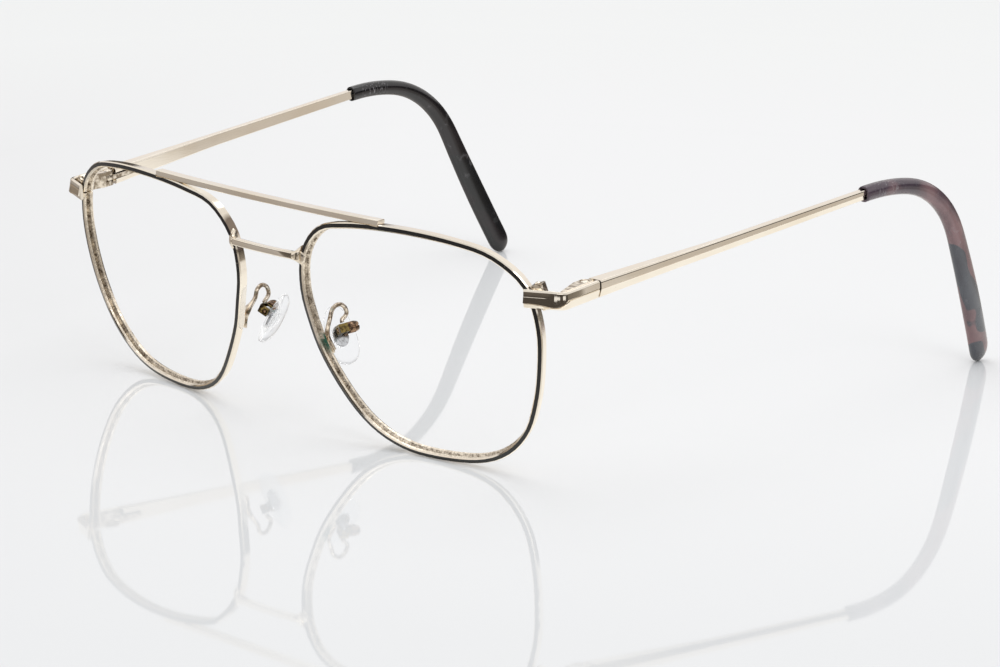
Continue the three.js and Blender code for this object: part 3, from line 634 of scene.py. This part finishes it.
def dress_pad_screw(hand):
    """Pad screw: a fluted head, each of its side faces sunk a little."""
    node = f"{hand}_pad_screw"
    piece = cad_copy(node)
    joint = joints[f"{hand}_pad_rock"]
    middle, axis = Vector(joint["pos_m"]), Vector(joint["axis"]).normalized()
    shank_reach = 1.05 * MM
    flute_margin, flute_depth = 0.07 * MM, 0.08 * MM

    def on_head(centre, normal):
        away = centre - middle
        off_axis = away - axis * away.dot(axis)
        return abs(normal.dot(axis)) < 0.2 and off_axis.length > shank_reach

    round_edges(piece, FINE_ROUND)
    pick_faces(piece, on_head)
    bpy.ops.mesh.inset(thickness=flute_margin, depth=-flute_depth, use_individual=True)
    close_mesh()
    smooth(piece, 30)
    dress(piece, brown_gold, node)


def by_hinge(hand, place):
    """A place in a hinge's own frame, in millimetres: outwards, along the temple, up the pin."""
    away = (place - pins[hand]) / MM
    return Vector((away.x * FACING[hand], away.dot(PIN_ALONG), away.dot(PIN_UP)))


def slopes_up(normal):
    """Tells a narrow slope between a top and a side from both."""
    return 0.45 < normal.z < 0.9


# End piece, in its hinge's frame and in millimetres: where its straight run ends, and the middle of the
# corner's round, which leans back up the pin. The row at the corner rises between the two turns, in degrees.
RUN_END = -7.6
CORNER_X, CORNER_Y, CORNER_LEAN = -1.4, -6.5, 0.085
RUN_TURN, CORNER_TURN = 21.5, 37.5

# Levels of its front facet up the pin, and how far each stands out on the straight run and round the
# corner: two bright lines on the run, one upright row at the corner
FACET_LEVELS = (
    (0.25, -0.0088, 0.0023), (0.73, -0.0148, 0.0064), (0.83, -0.026, 0.0072),
    (1.1, -0.0318, 0.0095), (1.2, -0.043, 0.0047),
)

# Its ridge is drawn down and out, most where it turns the corner
RIDGE_MIDDLE, RIDGE_REACH = -8.9, 2.6
RIDGE_DOWN, RIDGE_OUT = 0.72, 0.14


def dress_end_piece(hand):
    """End piece: its front run leans a little further back, with two fine lines that end at the corner."""
    node = f"{hand}_end_piece"
    piece = cad_copy(node)
    side = FACING[hand]
    lean_back = 0.19 * MM

    def on_run(centre, normal):
        return by_hinge(hand, centre).y < RUN_END and side * normal.x - normal.y > 0.4

    def on_slope(centre, normal):
        return on_run(centre, normal) and slopes_up(normal)

    def on_facet(centre, normal):
        return on_run(centre, normal) and abs(normal.z) < 0.45 and -0.3 < by_hinge(hand, centre).z < 1.8

    def stand_out(point):
        """Way of a point of the facet's levels, square to the run or to the corner's round."""
        place = by_hinge(hand, point)
        ahead = CORNER_Y + CORNER_LEAN * place.z - place.y
        turn = math.degrees(math.atan2(place.x - CORNER_X, ahead))
        share = min(max((turn - RUN_TURN) / (CORNER_TURN - RUN_TURN), 0), 1)
        outwards = math.radians(max(turn, RUN_TURN))
        for level, on_straight, on_corner in FACET_LEVELS:
            if abs(place.z - level) < 0.01 and place.y < -7:
                out = (on_straight + (on_corner - on_straight) * share) * MM
                return Vector((side * math.sin(outwards), -math.cos(outwards), 0)) * out
        return None

    def sink_ridge(point):
        """Way of a point of the ridge: down and out, most at the corner."""
        place = by_hinge(hand, point)
        near = max(0, 1 - abs(place.y - RIDGE_MIDDLE) / RIDGE_REACH)
        if not near or not -0.8 < place.z < 0.1:
            return None
        swell = near * near * (3 - 2 * near) * MM
        return Vector((side * RIDGE_OUT, -RIDGE_OUT, 0)) * swell - PIN_UP * RIDGE_DOWN * swell

    shift_faces(piece, on_slope, (0, lean_back, 0))
    for level, *_ in FACET_LEVELS:
        cut_faces(piece, on_facet, pins[hand] + PIN_UP * level * MM, PIN_UP)
    move_points(piece, stand_out)
    move_points(piece, sink_ridge)
    round_edges(piece, EDGE_ROUND)
    smooth(piece, 5)
    dress(piece, gold_temple, node)


# Two stretches of the temple's outer face, in its hinge's frame and in millimetres: from, to, height of the
# top edge at the start, and how far that edge falls in each millimetre. The strip under the edge, its
# height and how far its upper side is set in.
TEMPLE_KNEE, TEMPLE_END = 33.1, 75
TEMPLE_STRETCHES = ((0, TEMPLE_KNEE, 1.316, 0.00759), (TEMPLE_KNEE, TEMPLE_END, 1.065, 0.00453))
STRIP_HEIGHT, STRIP_IN = 0.17, 0.03


def dress_temple(hand):
    """Temple bar: a narrow strip under its top edge leans in, so that it reads as a thin line."""
    node = f"{hand}_temple"
    piece = cad_copy(node)
    side = FACING[hand]

    def on_slope(centre, normal):
        return side * normal.x > 0.4 and slopes_up(normal) and by_hinge(hand, centre).y < TEMPLE_END

    def on_side(start, end):
        """Test for the outer face above its middle, on one stretch of the temple."""
        def wanted(centre, normal):
            place = by_hinge(hand, centre)
            return side * normal.x > 0.95 and start < place.y < end and place.z > 0.1
        return wanted

    for start, end, top, fall in TEMPLE_STRETCHES:
        edge = pins[hand] + (PIN_ALONG * start + PIN_UP * (top - STRIP_HEIGHT)) * MM
        cut_faces(piece, on_side(start, end), edge, PIN_UP + PIN_ALONG * fall)
    shift_faces(piece, on_slope, (-side * STRIP_IN * MM, 0, 0))
    round_edges(piece, FINE_ROUND)
    smooth(piece, 6)
    dress(piece, gold_temple, node)


def draw_out(name, rings, corners, turn=Matrix.Identity(4)):
    """Solid drawn out along X through rings: x, y, z of the middle, half depth and half height, in mm."""
    bpy.ops.object.select_all(action="DESELECT")
    *start, depth, height = rings[0]
    place, flat = Vector(start) * MM, (0, math.pi / 2, 0)
    if corners == 4:
        bpy.ops.mesh.primitive_plane_add(size=2 * MM, location=place, rotation=flat)
    else:
        bpy.ops.mesh.primitive_circle_add(
            vertices=corners, radius=MM, fill_type="NGON", location=place, rotation=flat)
    piece = bpy.context.active_object
    piece.name = name
    bpy.ops.object.transform_apply(location=True, rotation=True, scale=True)
    open_mesh(piece, "FACE", "SELECT")
    bpy.ops.transform.resize(value=(1, depth, height), center_override=place)
    for *following, next_depth, next_height in rings[1:]:
        following = Vector(following) * MM
        bpy.ops.mesh.extrude_region_move(TRANSFORM_OT_translate={"value": following - place})
        grown = (1, next_depth / depth, next_height / height)
        bpy.ops.transform.resize(value=grown, center_override=following)
        place, depth, height = following, next_depth, next_height
    bpy.ops.mesh.select_all(action="SELECT")
    bpy.ops.mesh.normals_make_consistent(inside=False)
    close_mesh()
    piece.matrix_world = turn
    bpy.ops.object.transform_apply(location=True, rotation=True, scale=True)
    return piece


def dress_bridge():
    """Bridge: a crisp bar bowed forwards, its ends flattened on the rims."""
    half_length, half_gap, flare_run, steps = 9.65, 8.95, 1.2, 12
    middle_height, end_height = 1.45, 2.1
    middle_depth, end_depth = 1.4, 0.65
    braze_gap, bow_depth = 0.22, 0.5
    filed_from, filed_to, filed_back = 6.6 * MM, 9 * MM, 0.17 * MM
    end_y = bowl_depth(half_length * MM, BRIDGE_LEVEL) / MM
    seat = end_y - braze_gap - end_depth / 2
    full_rise = end_y - bowl_depth(half_gap * MM, BRIDGE_LEVEL) / MM
    rings = []
    for step in range(steps + 1):
        x = half_length * (2 * step / steps - 1)
        flare = max(0, (abs(x) - (half_length - flare_run)) / flare_run)
        height = middle_height + (end_height - middle_height) * flare * flare
        depth = middle_depth + (end_depth - middle_depth) * flare
        lap = max(0, abs(x) - half_gap) / (half_length - half_gap)
        bow = bow_depth * (1 - (x / half_length) ** 2)
        y = seat - full_rise * (1 - lap) - bow - (depth - end_depth) / 4
        rings.append((x, y, BRIDGE_LEVEL / MM, depth / 2, height / 2))
    piece = draw_out("bridge_dressed", rings, 4)
    shift_faces(piece, lambda centre, normal: normal.z > 0.9 and filed_from < centre.x < filed_to,
                (0, filed_back, 0))
    round_edges(piece, 0.32 * MM, angle=60, segments=4)
    smooth(piece, 35)
    dress(piece, gold_bar, "bridge")


def finish_braze(piece):
    """Braze rides on the front and takes its gold."""
    piece.data.materials.append(gold_braze)
    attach(piece, "front")


def bead(middle, half_length, half_depth, half_height):
    """Rings of a small bead along X that narrows to both ends."""
    x, y, z = middle
    steps = 8
    rings = []
    for step in range(1, steps):
        turn = math.pi * step / steps
        swell = math.sin(turn)
        rings.append((x - half_length * math.cos(turn), y, z, half_depth * swell, half_height * swell))
    return rings


def braze_bridge(hand):
    """Collar round the bridge's end where it meets the rim, and a bead on the end's front."""
    side = FACING[hand]
    collar = [(side * x, y, BRIDGE_LEVEL / MM, depth, height) for x, y, depth, height in (
        (8.2, -71.36, 0.56, 0.6), (8.45, -71.4, 0.74, 0.76), (8.8, -71.25, 0.8, 0.95),
        (9.1, -70.9, 0.85, 1.3), (9.35, -70.3, 0.75, 1.8), (9.8, -70.3, 0.75, 2.1),
    )]
    mound = bead((side * BRIDGE_BRAZE / MM, -70.6, 36.6), 0.8, 0.34, 1.3)
    for name, rings in (("bridge_braze", collar), ("bridge_braze_front", mound)):
        piece = draw_out(f"{hand}_{name}", rings, 20)
        smooth(piece, 70)
        finish_braze(piece)


def braze_pad_arm(hand):
    """Bead between the pad arm's flat foot and the back of the rim."""
    side = FACING[hand]
    along_rim = Vector((side * 0.436, 0.19, -0.88)).to_track_quat("X", "Z").to_matrix().to_4x4()
    place = Matrix.Translation(Vector((side * 12.35, -65.52, 18.85)) * MM) @ along_rim
    piece = draw_out(f"{hand}_pad_arm_braze", bead((0, 0, 0), 2, 0.42, 0.5), 20, place)
    smooth(piece, 70)
    finish_braze(piece)


def braze_brow_bar(hand):
    """Thin strip under the bow of the brow bar, where it leaves the rim's top."""
    strip = [(FACING[hand] * x, y, z, 0.4, 0.08) for x, y, z in (
        (24.5, -71.12, 46.09), (27.8, -71.02, 46.145), (31.1, -70.93, 46.2),
    )]
    piece = draw_out(f"{hand}_bar_braze", strip, 4)
    round_edges(piece, 0.03 * MM)
    smooth(piece)
    finish_braze(piece)


def braze_hinge(hand):
    """Flat seam between the end piece and the hinge's leaf."""
    seam = [(FACING[hand] * x, -3.225, 0.02, 4.125 - edge, 1.57 - edge) for x, edge in (
        (1.08, 0.1), (1.15, 0), (1.27, 0), (1.34, 0.1),
    )]
    place = Matrix.Translation(pins[hand]) @ Matrix.Rotation(PIN_LEAN, 4, "X")
    piece = draw_out(f"{hand}_hinge_braze", seam, 4, place)
    smooth(piece)
    finish_braze(piece)


dress_bridge()
dress_plain("brow_bar", gold_bar)
for hand in FACING:
    dress_rim(hand)
    dress_tip(hand)
    dress_pad(hand)
    dress_wire(hand)
    dress_temple(hand)
    dress_end_piece(hand)
    dress_pad_screw(hand)
    braze_bridge(hand)
    braze_pad_arm(hand)
    braze_brow_bar(hand)
    braze_hinge(hand)
    for name in ("front_hinge", "temple_hinge", "lock_upper", "lock_lower"):
        dress_plain(f"{hand}_{name}", hinge_gold)
    dress_plain(f"{hand}_pad_box", brass)
    dress_plain(f"{hand}_pad_insert", grey_steel)
    for name in ("hinge_screw", "closing_screw"):
        dress_plain(f"{hand}_{name}", gold_small, FINE_ROUND, FINE_MERGE)


def pale_acrylic():
    """Glossy white table. To polished metal it looks dark away from the frame, and to the eye it is matt there, so
    that it doesn't mirror the studio's walls.
    To the eye its colour also carries painted light: a pool of light round the frame, darker on the camera's near
    side and to its left, and lighter far away, against the lamps' falloff."""
    finish = new_finish("pale_acrylic")
    apart = finish.apart((0, 0, 0))
    sideways = finish.along((0.7, 0.7, 0))
    far = finish.mix(finish.band(sideways, -0.2, 0.16), colour(138, 129, 120), colour(180, 171, 158))
    across = finish.along((0.73, 0.68, 0))
    away = finish.along((-0.68, 0.73, 0))
    # Painted pool of light on the floor as the eye sees it: darker on the camera's near side and to its left
    painted_light_pool = finish.band(across, -0.14, -0.03) * finish.band(away, -0.17, -0.06)
    near = finish.mix(painted_light_pool, colour(232, 233, 234), colour(239, 240, 241))
    beside = finish.apart((0.085, 0.04, 0))
    dark = finish.band(apart, 0.085, 0.14) * finish.band(beside, 0.07, 0.1)
    in_metal = finish.mix(dark, colour(255, 253, 248), far)
    gloss = finish.shader(Base_Color=finish.mix(finish.mirrored(), near, in_metal), Roughness=0.03, IOR=1.49)
    # Painted light: the matt floor turns whiter further out, against the lamps' falloff
    far_floor_painted_lighter = finish.mix(finish.band(apart, 0.4, 2.5), colour(238, 238, 237), colour(255, 255, 255))
    matt = finish.shader(Base_Color=far_floor_painted_lighter, Roughness=1.0, Specular_IOR_Level=0.0)
    share = finish.band(apart, 0.25, 0.4) * (1 - finish.mirrored())
    return finish.end(finish.node("ShaderNodeMixShader", {}, {0: share, 1: gloss, 2: matt}))


def table():
    """Flat floor just below the frame's feet."""
    size, drop = 8, 0.02 * MM
    bpy.ops.object.select_all(action="DESELECT")
    bpy.ops.mesh.primitive_plane_add(size=size, location=(0, 0, -drop))
    floor = bpy.context.active_object
    floor.name = "table"
    floor.data.materials.append(pale_acrylic())


def softbox(name, place, size, power):
    """Square lamp that points at the frame."""
    data = bpy.data.lights.new(name, "AREA")
    data.size = size
    data.energy = power
    lamp = bpy.data.objects.new(name, data)
    lamp.location = place
    lamp.rotation_euler = (-place).to_track_quat("-Z", "Y").to_euler()
    bpy.context.scene.collection.objects.link(lamp)


def studio_walls():
    """Even pale light. Polished metal sees a dark ring low on the walls, brightness above it, a warm
    wall on the frame's right and two low windows."""
    world = bpy.data.worlds.new("studio")
    bpy.context.scene.world = world
    finish = Finish(world, "Generated")
    height = finish.height()
    walls = finish.ramp(
        height,
        (0.0, colour(78, 73, 68)), (0.13, colour(72, 67, 62)), (0.158, colour(240, 237, 236)),
        (0.3, colour(245, 241, 239)), (0.5, colour(255, 253, 250)), (1.0, colour(226, 226, 226)),
    )
    sideways = finish.along((-1, 0, 0))
    warm = finish.band(sideways, 0.75, 0.92) * (1 - finish.band(height, 0.1, 0.13))
    walls = finish.mix(warm, walls, colour(176, 162, 146))
    pane_height = finish.band(height, 0.005, 0.012) * (1 - finish.band(height, 0.055, 0.062))
    panes = 0
    for turn in (math.radians(47), math.radians(88)):
        facing = finish.along((math.sin(turn), -math.cos(turn), 0))
        panes = panes + finish.band(facing, 0.974, 0.978)
    walls = finish.mix(panes * pane_height, walls, colour(250, 250, 250))
    seen = finish.mix(finish.mirrored(), colour(226, 227, 228), walls)
    background = finish.node("ShaderNodeBackground", {}, {"Color": seen, "Strength": 1.0})
    finish.node("ShaderNodeOutputWorld", {}, {0: background})


table()
softbox("overhead_softbox", Vector((-0.15, 0.25, 1.0)), size=0.9, power=3.4)
softbox("side_softbox", Vector((0.9, -0.35, 0.75)), size=0.5, power=1.6)
studio_walls()
bpy.context.scene.view_settings.view_transform = "Standard"
